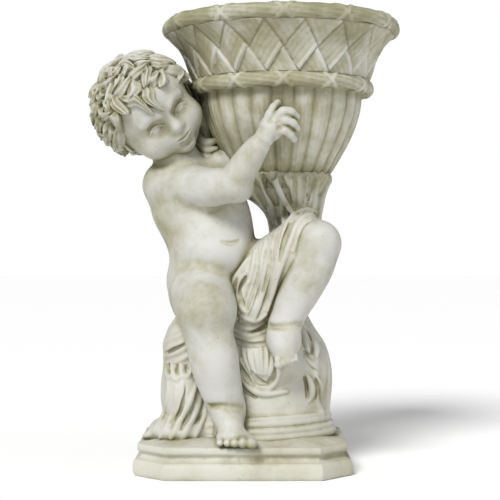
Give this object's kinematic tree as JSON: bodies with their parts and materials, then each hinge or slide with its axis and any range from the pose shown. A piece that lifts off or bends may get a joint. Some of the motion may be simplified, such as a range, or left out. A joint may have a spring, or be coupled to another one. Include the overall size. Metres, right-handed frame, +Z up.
{
  "type": "cherub planter statue",
  "caption": "Seated cherub that hugs a woven basket bowl, on a draped stump and a moulded plinth; a garden statue whose open bowl holds a plant.",
  "frame": {"origin": "middle of the plinth's underside, on the ground", "axes": "+Z up through the figure; -Y is the front, which the picture shows; +X is towards the bowl's side"},
  "size_m": [0.4619, 0.3568, 0.6625],
  "materials": {
    "stone": "matt antique ivory cast stone with an olive-brown wash in the recesses"
  },
  "bodies": {
    "root": {"cherub_planter": "stone"}
  },
  "joints": []
}
